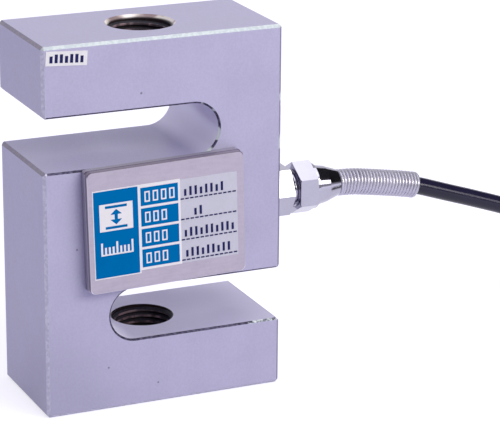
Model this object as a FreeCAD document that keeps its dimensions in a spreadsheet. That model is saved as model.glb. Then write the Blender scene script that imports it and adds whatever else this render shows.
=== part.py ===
import FreeCAD, Part
import Sketcher
import math
import os

# S type load cell: a steel block cut to an S by two slots, with a strain gauge bridge in its
# middle beam, covers and a nameplate, and a cable that leaves through a gland.
#
# Frame, millimetres: the origin is where the load axis leaves the bottom face. +Z runs up the
# load axis, +X towards the gland, and the nameplate is on the -Y face.

doc = FreeCAD.newDocument("LoadCell")

SIZES = (
    # block
    ("width", 50.8, "block along X"),
    ("depth", 25.4, "block along Y"),
    ("tall", 76.2, "block along Z"),
    ("arm", 14.3, "thickness of the lower and the upper arm"),
    ("slot_gap", 10.9, "slot height"),
    ("slot_reach", 11.7, "furthest point of a slot's round end past the load axis"),
    ("slot_over", 2.0, "how far a slot's sketch runs out of the block"),
    ("edge_bevel", 0.6, "bevel on the block's outer edges"),
    ("slot_bevel", 0.4, "bevel on the slots' edges"),
    ("thread_radius", 6.35, "major radius of the 1/2-20 UNF load thread"),
    ("mouth_bevel", 0.75, "bevel at a load thread's outer mouth"),
    ("slot_mouth_bevel", 0.15, "bevel at a load thread's mouth in the slot"),
    # gauge recesses in the middle beam
    ("recess_wide", 20.0, "gauge recess along X"),
    ("recess_high", 14.0, "gauge recess along Z"),
    ("recess_corner", 4.0, "corner radius of a gauge recess"),
    ("web", 4.0, "thickness of the shear web between the recesses"),
    ("beam_level", 38.1, "middle of the middle beam"),
    ("entry_radius", 4.0, "gland thread and lead bore"),
    ("entry_end", 8.0, "where the lead bore ends, past the load axis"),
    # covers and nameplate
    ("cover_wide", 33.3, "covers and nameplate along X"),
    ("cover_high", 25.2, "front cover and nameplate along Z"),
    ("back_cover_high", 24.0, "back cover along Z"),
    ("cover_offset", 0.65, "front cover and nameplate stand this far left of the load axis"),
    ("cover_level", 39.0, "middle of the front cover and the nameplate"),
    ("cover_tilt", 1.6, "degrees that the front cover and the nameplate are glued off square"),
    ("gasket_thick", 0.2, "gasket under a cover"),
    ("cover_thick", 1.5, "cover"),
    ("cover_corner", 0.7, "corner radius of a cover"),
    ("film_thick", 0.15, "adhesive film under the nameplate"),
    ("film_inset", 0.3, "adhesive film is smaller than the nameplate all round"),
    ("plate_thick", 1.15, "nameplate"),
    ("plate_corner", 1.1, "corner radius of the nameplate"),
    ("plate_bevel", 0.15, "bevel round the nameplate's face"),
    ("ink", 0.04, "thickness of one printed layer"),
    # printed fields, measured from the nameplate's left and top edges
    ("field_left", 0.95, "white ground"),
    ("field_right", 19.5, "white ground"),
    ("field_top", 3.85, "white ground"),
    ("field_low", 22.2, "white ground under the blue panel"),
    ("field_step", 21.6, "white ground's lower edge under the blue cells"),
    ("panel_left", 1.15, "blue panel"),
    ("panel_right", 10.45, "blue panel"),
    ("panel_top", 4.1, "blue panel"),
    ("panel_low", 21.95, "blue panel"),
    ("cell_left", 11.05, "blue cells"),
    ("cell_right", 19.0, "blue cells"),
    ("cell_top", 4.55, "first blue cell"),
    ("cell_high", 3.72, "blue cell"),
    ("cell_pitch", 4.26, "from one cell to the next"),
    ("value_left", 19.5, "pale value field"),
    ("value_right", 31.75, "pale value field"),
    ("value_top", 4.05, "pale value field"),
    ("value_low", 21.5, "pale value field"),
    ("dash_long", 0.75, "dash under a value"),
    ("dash_pitch", 1.02, "from one dash to the next"),
    ("dash_thick", 0.28, "dash"),
    ("sign_drop", 2.7, "load sign's white ground, below the blue panel's top"),
    ("sign_wide", 7.0, "load sign's white ground"),
    ("sign_high", 5.6, "load sign's white ground"),
    ("rule_drop", 13.0, "ruled bar, below the blue panel's top"),
    ("rule_thick", 0.3, "ruled bar"),
    ("tick_wide", 0.4, "tick on the ruled bar"),
    ("tick_pitch", 0.8, "from one tick to the next"),
    ("tick_short", 1.4, "short tick"),
    ("tick_long", 2.4, "every fourth tick"),
    ("mark_wide", 1.15, "hollow white mark in a blue cell"),
    ("mark_high", 2.2, "hollow white mark in a blue cell"),
    ("mark_line", 0.28, "line of a hollow white mark"),
    ("mark_pitch", 1.75, "from one white mark to the next"),
    ("mark_start", 0.8, "first white mark, right of the cell's left edge"),
    ("mark_foot", 0.72, "marks' feet above a cell's lower edge"),
    ("stroke_wide", 0.5, "dark stroke on the pale field"),
    ("stroke_pitch", 1.13, "from one dark stroke to the next"),
    ("stroke_high", 1.85, "dark stroke"),
    ("stroke_low", 1.4, "every third dark stroke"),
    # paper label
    ("label_wide", 8.5, "label along X"),
    ("label_high", 2.85, "label along Z"),
    ("label_thick", 0.12, "label"),
    ("label_centre", 20.3, "label's middle is this far left of the load axis"),
    ("label_drop", 2.5, "label's middle is this far below the top face"),
    ("label_tilt", 3.6, "degrees that the label is stuck off square"),
    ("digit_wide", 0.62, "block in place of a digit"),
    ("digit_pitch", 1.05, "from one block to the next"),
    ("digit_high", 1.7, "block in place of a digit"),
    ("digit_low", 1.35, "every third block"),
    # bridge
    ("gauge_wide", 5.0, "strain gauge along X"),
    ("gauge_high", 6.0, "strain gauge along Z"),
    ("gauge_thick", 0.12, "strain gauge"),
    ("gauge_near", 0.2, "middle of the gauge nearer to the gland, left of the load axis"),
    ("gauge_far", 6.2, "middle of the other gauge, left of the load axis"),
    ("board_left", 3.6, "bridge board's left edge, past the load axis"),
    ("board_wide", 4.0, "bridge board along X"),
    ("board_high", 9.4, "bridge board along Z"),
    ("board_thick", 0.8, "bridge board"),
    ("potting_thick", 6.5, "silicone over the web"),
    ("play", 0.05, "play between fitted pieces"),
    ("solder_radius", 0.5, "solder joint"),
    ("solder_high", 0.65, "solder joint"),
    ("core_column", 0.5, "cores' solder joints, right of the board's middle"),
    ("core_row", 1.8, "from one core's joint to the next"),
    ("core_end", 1.1, "cores' ends, right of the board's middle"),
    ("wire_column", 0.8, "gauge wires' solder joints, right of the board's left edge"),
    ("wire_row", 2.2, "from one gauge wire's joint to the next"),
    ("core_radius", 0.35, "insulated core of the cable"),
    ("drain_radius", 0.2, "bare shield drain wire"),
    ("cores_gap", 0.2, "cores are modelled up to this far before the jacket's end"),
    ("gauge_wire_radius", 0.1, "enamelled gauge wire"),
    # gland, measured along X from the block's face
    ("gland_level", 37.6, "height of the gland's axis"),
    ("stub_radius", 3.95, "gland's thread in the block"),
    ("stub_long", 6.0, "gland's thread in the block"),
    ("washer_thick", 0.5, "sealing washer"),
    ("washer_radius", 4.7, "sealing washer"),
    ("hex_flat", 4.9, "half across the flats of the gland body and of the nut"),
    ("hex_corner", 5.45, "radius at which the hexagons' turned corners start"),
    ("hex_clearance", 0.5, "bevels are cut from this far outside the hexagons' corners"),
    ("hex_end", 6.85, "end of the gland body's hexagon"),
    ("collar_radius", 3.6, "root of the gland body's outer thread"),
    ("collar_crest", 3.95, "crest of the gland body's outer thread"),
    ("thread_pitch", 0.75, "gland body's outer thread"),
    ("collar_end", 12.9, "end of the gland body"),
    ("cable_way", 2.1, "bore for the cable"),
    ("seal_seat", 2.9, "bore for the rubber seal"),
    ("seal_start", 8.8, "start of the rubber seal"),
    ("seal_end", 12.9, "end of the rubber seal"),
    ("seal_way", 1.93, "bore of the rubber seal"),
    ("ring_end", 13.8, "end of the clamp ring"),
    ("nut_start", 8.35, "start of the nut's hexagon"),
    ("nut_flats", 12.4, "end of the nut's hexagon"),
    ("nut_thread", 4.0, "bore of the nut's thread"),
    ("nut_cone", 13.4, "where the nut's bore starts to narrow"),
    ("nut_throat", 14.15, "where the nut's bore is narrow"),
    ("shoulder_radius", 4.85, "nut's round shoulder"),
    ("shoulder_end", 13.0, "end of the nut's round shoulder"),
    ("nose_radius", 4.4, "nut's nose at the shoulder"),
    ("nose_middle", 3.85, "nut's nose half way"),
    ("nose_tip", 2.85, "nut's nose at its end"),
    ("nose_end", 18.6, "end of the nut's nose"),
    ("spring_radius", 2.85, "outside of the strain relief spring"),
    ("spring_wire", 0.7, "wire of the strain relief spring"),
    ("spring_long", 18.9, "strain relief spring along its axis"),
    # cable
    ("cable_radius", 1.9, "jacket"),
    ("cable_pitch", 3.9, "from one turn of the coil to the next"),
    ("coil_columns", 4, "turns side by side in the coil"),
    ("coil_layers", 6, "layers of turns in the coil"),
    ("coil_middle", 19.0, "radius of the coil's middle turn"),
    ("coil_round", 1.6, "rounding of the coil's outer shape"),
    ("coil_forward", 134.0, "coil's middle along X"),
    ("coil_aside", 17.7, "coil's middle towards -Y"),
    ("tie_thick", 0.9, "strap of a coil tie"),
    ("tie_wide", 2.6, "strap of a coil tie"),
    ("tie_head", 4.4, "head of a coil tie"),
    ("tie_head_inset", 2.0, "head of a coil tie, inside the coil's outer side"),
    ("tie_gap", 0.1, "play between a coil tie and the coil"),
    ("lead_radius", 0.5, "flying lead's insulation"),
    ("twist_radius", 0.3, "twisted shield drain"),
    ("tip_radius", 0.25, "flying lead's bare conductor"),
    ("tip_long", 4.0, "flying lead's bare conductor"),
    ("lead_straight", 4.0, "straight start of a flying lead"),
    ("sleeve_radius", 2.15, "shrink sleeve at the end of the jacket"),
    ("sleeve_long", 8.0, "shrink sleeve at the end of the jacket"),
    ("fit_gap", 0.02, "play between a sleeve and the jacket"),
)
SIZE = {alias: value for alias, value, note in SIZES}

sheet = doc.addObject("Spreadsheet::Sheet", "Sizes")
for row, (alias, value, note) in enumerate(SIZES, start=1):
    sheet.set(f"A{row}", note)
    sheet.set(f"B{row}", str(value))
    sheet.setAlias(f"B{row}", alias)
doc.recompute()

SUBPARTS = []


# --- helpers ------------------------------------------------------------------------------

def amount(text):
    """Value of a sum such as "width/2 - arm" of aliases, each perhaps over a whole number."""
    total = 0.0
    sign = 1
    for word in text.split():
        if word in ("+", "-"):
            sign = 1 if word == "+" else -1
            continue
        alias, _, divisor = word.partition("/")
        total += sign * (0.0 if alias == "0" else SIZE[alias]) / float(divisor or 1)
        sign = 1
    return total


def formula(text):
    """The same sum as an expression on the sheet."""
    words = []
    for word in text.split():
        words.append(word if word in ("+", "-", "0") else "Sizes." + word)
    return " ".join(words)


def bind(target, name, text):
    target.setExpression(name, formula(text))


def keep(target, label):
    """Name a finished sub-part, which is written to a file of that name."""
    target.Label = label
    SUBPARTS.append(target)
    return target


def origin_plane(body, role):
    for feature in body.Origin.OriginFeatures:
        if feature.Role == role:
            return feature
    raise ValueError(role)


def sketch_on(body, name, role, shift=("0", "0", "0")):
    """A sketch on one of the body's origin planes, moved in the plane and along its normal."""
    sketch = body.newObject("Sketcher::SketchObject", name)
    sketch.AttachmentSupport = [(origin_plane(body, role), "")]
    sketch.MapMode = "FlatFace"
    for axis, text in zip("xyz", shift):
        if text != "0":
            bind(sketch, f"AttachmentOffset.Base.{axis}", text)
    return sketch


def outline(sketch, corners):
    """A closed run of straight lines, with both coordinates of each corner bound to the sheet."""
    places = [(amount(x), amount(y)) for x, y in corners]
    first = sketch.GeometryCount
    count = len(corners)
    for index, start in enumerate(places):
        end = places[(index + 1) % count]
        sketch.addGeometry(Part.LineSegment(FreeCAD.Vector(*start, 0), FreeCAD.Vector(*end, 0)), False)
    for index in range(count):
        following = first + (index + 1) % count
        sketch.addConstraint(Sketcher.Constraint("Coincident", first + index, 2, following, 1))
    for index, (x, y) in enumerate(corners):
        for kind, text in (("DistanceX", x), ("DistanceY", y)):
            rule = Sketcher.Constraint(kind, -1, 1, first + index, 1, amount(text))
            number = sketch.addConstraint(rule)
            if text != "0":
                sketch.setExpression(f"Constraints[{number}]", formula(text))


def circle(sketch, radius):
    """A circle about the sketch's origin."""
    ring = Part.Circle(FreeCAD.Vector(0, 0, 0), FreeCAD.Vector(0, 0, 1), amount(radius))
    number = sketch.addGeometry(ring)
    sketch.addConstraint(Sketcher.Constraint("Coincident", number, 3, -1, 1))
    rule = sketch.addConstraint(Sketcher.Constraint("Radius", number, amount(radius)))
    bind(sketch, f"Constraints[{rule}]", radius)


def rectangle(sketch, wide, high):
    """A rectangle about the sketch's origin."""
    half_wide, half_high = wide + "/2", high + "/2"
    outline(sketch, (
        ("- " + half_wide, "- " + half_high),
        (half_wide, "- " + half_high),
        (half_wide, half_high),
        ("- " + half_wide, half_high),
    ))


def add_pad(body, name, sketch, length, both_ways=False):
    pad = body.newObject("PartDesign::Pad", name)
    pad.Profile = sketch
    bind(pad, "Length", length)
    if both_ways:
        pad.SideType = "Symmetric"
    return pad


def add_pocket(body, name, sketch, length, both_ways=False, flipped=False):
    """A pocket that has to take something away."""
    doc.recompute()
    before = body.Shape.Volume
    pocket = body.newObject("PartDesign::Pocket", name)
    pocket.Profile = sketch
    bind(pocket, "Length", length)
    if both_ways:
        pocket.SideType = "Symmetric"
    pocket.Reversed = flipped
    doc.recompute()
    if body.Shape.Volume > before - 1.0:
        raise ValueError(f"{name} takes nothing away")
    return pocket


def edge_names(shape, wanted):
    return [f"Edge{number}" for number, edge in enumerate(shape.Edges, start=1) if wanted(edge)]


def bevel(body, name, size, wanted):
    doc.recompute()
    base = body.Tip
    feature = body.newObject("PartDesign::Chamfer", name)
    feature.Base = (base, edge_names(base.Shape, wanted))
    bind(feature, "Size", size)
    return feature


def rounding(body, name, radius, wanted):
    doc.recompute()
    base = body.Tip
    feature = body.newObject("PartDesign::Fillet", name)
    feature.Base = (base, edge_names(base.Shape, wanted))
    bind(feature, "Radius", radius)
    return feature


def runs_along(edge, axis):
    """True for a straight edge along "x", "y" or "z"."""
    if not isinstance(edge.Curve, Part.Line):
        return False
    return abs(getattr(edge.Curve.Direction, axis)) > 0.999


def turned(label, corners):
    """A body turned about the gland's axis: corners are (X past the block's face, radius)."""
    body = doc.addObject("PartDesign::Body", label)
    sketch = sketch_on(body, label + "_section", "XZ_Plane")
    outline(sketch, corners)
    revolution = body.newObject("PartDesign::Revolution", label + "_turning")
    revolution.Profile = sketch
    revolution.ReferenceAxis = (sketch, ["H_Axis"])
    revolution.Angle = 360.0
    bind(body, "Placement.Base.x", "width/2")
    bind(body, "Placement.Base.z", "gland_level")
    return body


def rounded_wire(points, share=0.45):
    """Straight runs joined by tangent arcs: the wire and its smallest arc radius."""
    vectors = [FreeCAD.Vector(*point) for point in points]
    edges = []
    radii = []
    last = vectors[0]
    for before, corner, after in zip(vectors, vectors[1:], vectors[2:]):
        into = (corner - before).normalize()
        out = (after - corner).normalize()
        cut = share * min(corner.distanceToPoint(before), corner.distanceToPoint(after))
        half_turn = into.getAngle(out) / 2
        radius = cut / math.tan(half_turn)
        start = corner - into * cut
        end = corner + out * cut
        inward = (out - into).normalize()
        middle = corner + inward * (radius / math.cos(half_turn) - radius)
        edges.append(Part.LineSegment(last, start).toShape())
        edges.append(Part.Arc(start, middle, end).toShape())
        radii.append(radius)
        last = end
    edges.append(Part.LineSegment(last, vectors[-1]).toShape())
    return Part.Wire(edges), min(radii, default=math.inf)


def swept(wire, radius):
    """A round solid along a wire, checked against section times length."""
    start = wire.Edges[0]
    first = start.FirstParameter
    ring = Part.makeCircle(radius, start.valueAt(first), start.tangentAt(first))
    solid = wire.makePipeShell([Part.Wire([ring])], True, False)
    expected = math.pi * radius ** 2 * wire.Length
    if abs(solid.Volume - expected) > 0.01 * expected:
        raise ValueError(f"swept volume {solid.Volume:.2f}, expected {expected:.2f}")
    return solid


def feature_of(label, shape):
    feature = doc.addObject("Part::Feature", label)
    feature.Shape = shape
    feature.Placement = FreeCAD.Placement()
    return keep(feature, label)


# --- block --------------------------------------------------------------------------------

def slot_sketch(body, name, level, turn):
    """A slot with a round end, open on the left, or on the right when turned by 180 degrees."""
    sketch = sketch_on(body, name, "XZ_Plane")
    sketch.AttachmentOffset = FreeCAD.Placement(
        FreeCAD.Vector(0, 0, 0), FreeCAD.Rotation(FreeCAD.Vector(0, 0, 1), turn)
    )
    bind(sketch, "AttachmentOffset.Base.y", level)
    mouth = amount("- width/2 - slot_over")
    middle = amount("slot_reach - slot_gap/2")
    half = amount("slot_gap/2")
    corners = [(middle, half), (mouth, half), (mouth, -half), (middle, -half)]
    for start, end in zip(corners, corners[1:]):
        sketch.addGeometry(Part.LineSegment(FreeCAD.Vector(*start, 0), FreeCAD.Vector(*end, 0)), False)
    round_end = Part.Arc(
        FreeCAD.Vector(middle, -half, 0),
        FreeCAD.Vector(middle + half, 0, 0),
        FreeCAD.Vector(middle, half, 0),
    )
    arc = sketch.addGeometry(round_end, False)
    sketch.addConstraint([
        Sketcher.Constraint("Coincident", 0, 2, 1, 1),
        Sketcher.Constraint("Coincident", 1, 2, 2, 1),
        Sketcher.Constraint("Tangent", 2, 2, arc, 1),
        Sketcher.Constraint("Tangent", arc, 2, 0, 1),
        Sketcher.Constraint("Horizontal", 0),
        Sketcher.Constraint("Vertical", 1),
        Sketcher.Constraint("Horizontal", 2),
        Sketcher.Constraint("PointOnObject", arc, 3, -1),
    ])
    for kind, where, text in (
        ("DistanceX", (0, 2), "- width/2 - slot_over"),
        ("DistanceX", (arc, 3), "slot_reach - slot_gap/2"),
        ("DistanceY", (0, 1), "slot_gap/2"),
    ):
        number = sketch.addConstraint(Sketcher.Constraint(kind, -1, 1, *where, amount(text)))
        bind(sketch, f"Constraints[{number}]", text)
    return sketch


def load_cell_body():
    body = doc.addObject("PartDesign::Body", "load_cell_body")
    blank = sketch_on(body, "blank_outline", "XZ_Plane", ("0", "tall/2", "0"))
    rectangle(blank, "width", "tall")
    add_pad(body, "blank", blank, "depth", both_ways=True)
    for name, level, turn in (
        ("upper_slot", "tall - arm - slot_gap/2", 0),
        ("lower_slot", "arm + slot_gap/2", 180),
    ):
        sketch = slot_sketch(body, name + "_outline", level, turn)
        add_pocket(body, name, sketch, "depth + slot_over", both_ways=True)

    def outer_edge(edge):
        box = edge.BoundBox
        on_face = abs(abs(edge.CenterOfMass.y) - amount("depth/2")) < 1e-6 and box.YLength < 1e-6
        on_end = abs(abs(box.Center.x) - amount("width/2")) < 1e-6 and box.XLength < 1e-6
        flat_end = box.ZLength < 1e-6 and min(abs(box.ZMin), abs(box.ZMax - amount("tall"))) < 1e-6
        return (on_face and (on_end or flat_end)) or (runs_along(edge, "y") and on_end)

    def slot_edge(edge):
        middle = edge.CenterOfMass
        if edge.BoundBox.YLength > 1e-6 or abs(abs(middle.y) - amount("depth/2")) > 1e-6:
            return False
        between_arms = amount("arm") - 1e-6 < middle.z < amount("tall - arm") + 1e-6
        return isinstance(edge.Curve, Part.Circle) or (runs_along(edge, "x") and between_arms)

    bevel(body, "outer_bevels", "edge_bevel", outer_edge)
    bevel(body, "slot_bevels", "slot_bevel", slot_edge)

    for name, shift, flipped in (("lower_thread", "0", True), ("upper_thread", "tall", False)):
        sketch = sketch_on(body, name + "_circle", "XY_Plane", ("0", "0", shift))
        circle(sketch, "thread_radius")
        add_pocket(body, name, sketch, "arm + slot_gap/2", flipped=flipped)

    def thread_mouth(levels):
        def wanted(edge):
            if not isinstance(edge.Curve, Part.Circle):
                return False
            if abs(edge.Curve.Radius - SIZE["thread_radius"]) > 1e-6:
                return False
            return any(abs(edge.CenterOfMass.z - amount(level)) < 1e-6 for level in levels)
        return wanted

    bevel(body, "outer_mouths", "mouth_bevel", thread_mouth(("0", "tall")))
    bevel(body, "slot_mouths", "slot_mouth_bevel", thread_mouth(("arm", "tall - arm")))

    recesses = (("front_recess", "depth/2", False), ("back_recess", "- depth/2", True))
    for name, shift, flipped in recesses:
        sketch = sketch_on(body, name + "_outline", "XZ_Plane", ("0", "beam_level", shift))
        rectangle(sketch, "recess_wide", "recess_high")
        add_pocket(body, name, sketch, "depth/2 - web/2", flipped=flipped)

    def recess_corner(edge):
        if not runs_along(edge, "y"):
            return False
        middle = edge.CenterOfMass
        across = abs(abs(middle.x) - amount("recess_wide/2")) < 1e-6
        return across and abs(abs(middle.z - SIZE["beam_level"]) - amount("recess_high/2")) < 1e-6

    rounding(body, "recess_corners", "recess_corner", recess_corner)

    entry = sketch_on(body, "entry_circle", "YZ_Plane", ("0", "gland_level", "width/2"))
    circle(entry, "entry_radius")
    add_pocket(body, "cable_entry", entry, "width/2 - entry_end")
    return keep(body, "load_cell_body")


# --- covers, nameplate and label ----------------------------------------------------------

def plate_layer(label, wide, high, thick, corner, lift, side=-1, inset=None, face_bevel=None):
    """A flat piece of the tilted stack on the front (-1) or the square one on the back (1)."""
    body = doc.addObject("PartDesign::Body", label)
    sketch = sketch_on(body, label + "_outline", "XZ_Plane")
    trim = f" - {inset}" if inset else ""
    untrim = f" + {inset}" if inset else ""
    outline(sketch, (
        (f"- {wide}/2{untrim}", f"- {high}/2{untrim}"),
        (f"{wide}/2{trim}", f"- {high}/2{untrim}"),
        (f"{wide}/2{trim}", f"{high}/2{trim}"),
        (f"- {wide}/2{untrim}", f"{high}/2{trim}"),
    ))
    pad = add_pad(body, label + "_sheet", sketch, thick)
    pad.Reversed = side > 0
    rounding(body, label + "_corners", corner, lambda edge: runs_along(edge, "y"))
    if face_bevel:
        face = side * amount(thick)
        bevel(body, label + "_bevel", face_bevel,
              lambda edge: edge.BoundBox.YLength < 1e-6 and abs(edge.CenterOfMass.y - face) < 1e-6)
    sign = "-" if side < 0 else "+"
    words = f"{sign} depth/2" + "".join(f" {sign} {piece}" for piece in lift)
    bind(body, "Placement.Base.y", words)
    if side > 0:
        bind(body, "Placement.Base.z", "beam_level")
        return keep(body, label)
    bind(body, "Placement.Base.x", "- cover_offset")
    bind(body, "Placement.Base.z", "cover_level")
    body.Placement.Rotation = FreeCAD.Rotation(FreeCAD.Vector(0, -1, 0), 1)
    body.setExpression("Placement.Rotation.Angle", "Sizes.cover_tilt")
    return keep(body, label)


def covers():
    stack = ("cover_wide", "cover_high")
    plate_layer("front_gasket", *stack, "gasket_thick", "cover_corner", (), inset="film_inset")
    plate_layer("front_cover", *stack, "cover_thick", "cover_corner", ("gasket_thick",),
                face_bevel="plate_bevel")
    plate_layer("nameplate_film", *stack, "film_thick", "cover_corner",
                ("gasket_thick", "cover_thick"), inset="film_inset")
    plate_layer("nameplate", *stack, "plate_thick", "plate_corner",
                ("gasket_thick", "cover_thick", "film_thick"), face_bevel="plate_bevel")
    stack = ("cover_wide", "back_cover_high")
    plate_layer("back_gasket", *stack, "gasket_thick", "cover_corner", (), side=1,
                inset="film_inset")
    plate_layer("back_cover", *stack, "cover_thick", "cover_corner", ("gasket_thick",), side=1,
                face_bevel="plate_bevel")


def plate_placement():
    """Where the nameplate's top left corner is on its face, with X right and Z up."""
    lift = amount("depth/2 + gasket_thick + cover_thick + film_thick + plate_thick")
    turn = FreeCAD.Rotation(FreeCAD.Vector(0, -1, 0), SIZE["cover_tilt"])
    middle = FreeCAD.Vector(-SIZE["cover_offset"], -lift, SIZE["cover_level"])
    corner = FreeCAD.Vector(-SIZE["cover_wide"] / 2, 0, SIZE["cover_high"] / 2)
    return FreeCAD.Placement(middle + turn.multVec(corner), turn)


def print_block(left, top, right, low, layer):
    """One printed rectangle, in millimetres from the nameplate's left and top edges."""
    thick = SIZE["ink"]
    corner = FreeCAD.Vector(left, -(layer + 1) * thick, -low)
    return Part.makeBox(right - left, thick, low - top, corner)


def print_outline(corners, layer):
    thick = SIZE["ink"]
    points = [FreeCAD.Vector(x, -layer * thick, -down) for x, down in corners]
    face = Part.Face(Part.makePolygon(points + points[:1]))
    return face.extrude(FreeCAD.Vector(0, -thick, 0))


def print_node(label, solids, placement):
    shape = Part.makeCompound(solids)
    feature = doc.addObject("Part::Feature", label)
    feature.Shape = shape
    feature.Placement = placement
    return keep(feature, label)


def cell_tops():
    return [SIZE["cell_top"] + row * SIZE["cell_pitch"] for row in range(CELL_ROWS)]


def panel_middle():
    return amount("panel_left/2 + panel_right/2")


CELL_ROWS = 4
TICKS = 9
MARKS_IN_CELLS = (4, 3, 3, 3)
STROKES_IN_ROWS = (
    # first stroke's place in the pale field, number of strokes
    (0.8, 8),
    (2.9, 2),
    (0.7, 10),
    (0.9, 9),
)
DASHES = 12
DIGITS = 7

# The load sign, about its own middle and downwards: a double arrow and the bar over it.
ARROW = (
    (0, -1.6), (1.25, -0.5), (0.35, -0.5), (0.35, 0.5), (1.25, 0.5),
    (0, 1.6), (-1.25, 0.5), (-0.35, 0.5), (-0.35, -0.5), (-1.25, -0.5),
)
BAR = (-2.3, -2.4, 2.3, -1.85)


def load_sign():
    """A white ground with a double arrow between two bars left out of it."""
    middle, wide, high = panel_middle(), SIZE["sign_wide"], SIZE["sign_high"]
    top = amount("panel_top + sign_drop")
    level = top + high / 2
    left, above, right, below = BAR
    arrow = print_outline([(middle + x, level + down) for x, down in ARROW], 2)
    bars = [
        print_block(middle + left, level + above, middle + right, level + below, 2),
        print_block(middle + left, level - below, middle + right, level - above, 2),
    ]
    return print_block(middle - wide / 2, top, middle + wide / 2, top + high, 2).cut([arrow] + bars)


def ruled_bar():
    """A bar with ticks over it, like a scale."""
    long = (TICKS - 1) * SIZE["tick_pitch"] + SIZE["tick_wide"]
    start = panel_middle() - long / 2
    level = amount("panel_top + rule_drop")
    shapes = [print_block(start, level, start + long, level + SIZE["rule_thick"], 2)]
    for tick in range(TICKS):
        high = SIZE["tick_short" if tick % 4 else "tick_long"]
        left = start + tick * SIZE["tick_pitch"]
        shapes.append(print_block(left, level - high, left + SIZE["tick_wide"], level, 2))
    return shapes


def hollow_marks():
    """Hollow blocks in the blue cells in place of words."""
    wide, high, line = SIZE["mark_wide"], SIZE["mark_high"], SIZE["mark_line"]
    shapes = []
    for top, count in zip(cell_tops(), MARKS_IN_CELLS):
        foot = top + amount("cell_high - mark_foot")
        for mark in range(count):
            left = amount("cell_left + mark_start") + mark * SIZE["mark_pitch"]
            whole = print_block(left, foot - high, left + wide, foot, 2)
            hollow = print_block(left + line, foot - high + line, left + wide - line, foot - line, 2)
            shapes.append(whole.cut(hollow))
    return shapes


def prints():
    placement = plate_placement()
    panel = [SIZE["panel_" + side] for side in ("left", "top", "right", "low")]
    value = [SIZE["value_" + side] for side in ("left", "top", "right", "low")]
    left, top, right, low = (SIZE["field_" + side] for side in ("left", "top", "right", "low"))
    inner, step = amount("panel_right/2 + cell_left/2"), SIZE["field_step"]
    field = ((left, top), (right, top), (right, step), (inner, step), (inner, low), (left, low))
    print_node("white_print", [print_outline(field, 0)], placement)

    blue = [print_block(*panel, 1)]
    for top in cell_tops():
        blue.append(print_block(SIZE["cell_left"], top, SIZE["cell_right"], top + SIZE["cell_high"], 1))
    print_node("blue_print", blue, placement)
    print_node("value_print", [print_block(*value, 0)], placement)
    print_node("white_marks", [load_sign()] + ruled_bar() + hollow_marks(), placement)

    # Short blocks in place of values.
    dark = []
    for top, (start, count) in zip(cell_tops(), STROKES_IN_ROWS):
        foot = top + amount("cell_high - mark_foot")
        for stroke in range(count):
            left = SIZE["value_left"] + start + stroke * SIZE["stroke_pitch"]
            high = SIZE["stroke_high" if stroke % 3 else "stroke_low"]
            dark.append(print_block(left, foot - high, left + SIZE["stroke_wide"], foot, 1))
    print_node("dark_marks", dark, placement)

    dashes = []
    for top in cell_tops():
        low = top + SIZE["cell_high"]
        for dash in range(DASHES):
            left = SIZE["value_left"] + dash * SIZE["dash_pitch"]
            dashes.append(print_block(left, low - SIZE["dash_thick"], left + SIZE["dash_long"], low, 1))
    print_node("dashed_lines", dashes, placement)


def paper_label():
    """A small paper label at the top left of the front face, with blocks in place of digits."""
    turn = FreeCAD.Rotation(FreeCAD.Vector(0, 1, 0), SIZE["label_tilt"])
    middle = FreeCAD.Vector(-SIZE["label_centre"], -amount("depth/2"), amount("tall - label_drop"))
    body = doc.addObject("PartDesign::Body", "paper_label")
    sketch = sketch_on(body, "paper_label_outline", "XZ_Plane")
    rectangle(sketch, "label_wide", "label_high")
    add_pad(body, "paper_label_sheet", sketch, "label_thick")
    bind(body, "Placement.Base.x", "- label_centre")
    bind(body, "Placement.Base.y", "- depth/2")
    bind(body, "Placement.Base.z", "tall - label_drop")
    body.Placement.Rotation = FreeCAD.Rotation(FreeCAD.Vector(0, 1, 0), 1)
    body.setExpression("Placement.Rotation.Angle", "Sizes.label_tilt")
    keep(body, "paper_label")

    face = middle + FreeCAD.Vector(0, -SIZE["label_thick"], 0)
    wide, pitch, ink = SIZE["digit_wide"], SIZE["digit_pitch"], SIZE["ink"]
    start = -((DIGITS - 1) * pitch + wide) / 2
    blocks = []
    for digit in range(DIGITS):
        high = SIZE["digit_high" if digit % 3 else "digit_low"]
        corner = FreeCAD.Vector(start + digit * pitch, -ink, -amount("digit_high/2"))
        blocks.append(Part.makeBox(wide, ink, high, corner))
    print_node("label_marks", blocks, FreeCAD.Placement(face, turn))


# --- bridge -------------------------------------------------------------------------------

def box_part(label, origin, sizes):
    """A Part::Box with its sizes and its corner bound to the sheet."""
    box = doc.addObject("Part::Box", label)
    for name, text in zip(("Length", "Width", "Height"), sizes):
        bind(box, name, text)
    for axis, text in zip("xyz", origin):
        if text != "0":
            bind(box, f"Placement.Base.{axis}", text)
    return box


def strain_gauges():
    for face, depth in (("front", "- web/2 - gauge_thick"), ("back", "web/2")):
        for place, middle in (("near", "gauge_near"), ("far", "gauge_far")):
            label = f"strain_gauge_{face}_{place}"
            origin = (f"- {middle} - gauge_wide/2", depth, "beam_level - gauge_high/2")
            keep(box_part(label, origin, ("gauge_wide", "gauge_thick", "gauge_high")), label)


def bridge_board():
    origin = ("board_left", "- web/2 - board_thick", "gland_level - board_high/2")
    keep(box_part("bridge_board", origin, ("board_wide", "board_thick", "board_high")), "bridge_board")


CORE_PLACES = {
    # name: (Y and Z in the cable, Z in the lead bore, Z on the board)
    "red_core": ((-0.55, 0.55), 0.6, 1.8),
    "black_core": ((0.55, 0.55), 1.75, 3.6),
    "green_core": ((-0.55, -0.55), -0.6, -1.8),
    "white_core": ((0.55, -0.55), -1.75, -3.6),
    "drain_wire": ((0.0, 0.0), 0.0, 0.0),
}
# X and Y of the cores' bends in the lead bore and in front of the board.
CORE_BENDS = ((12.5, -2.6), (9.5, -3.2))


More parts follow.
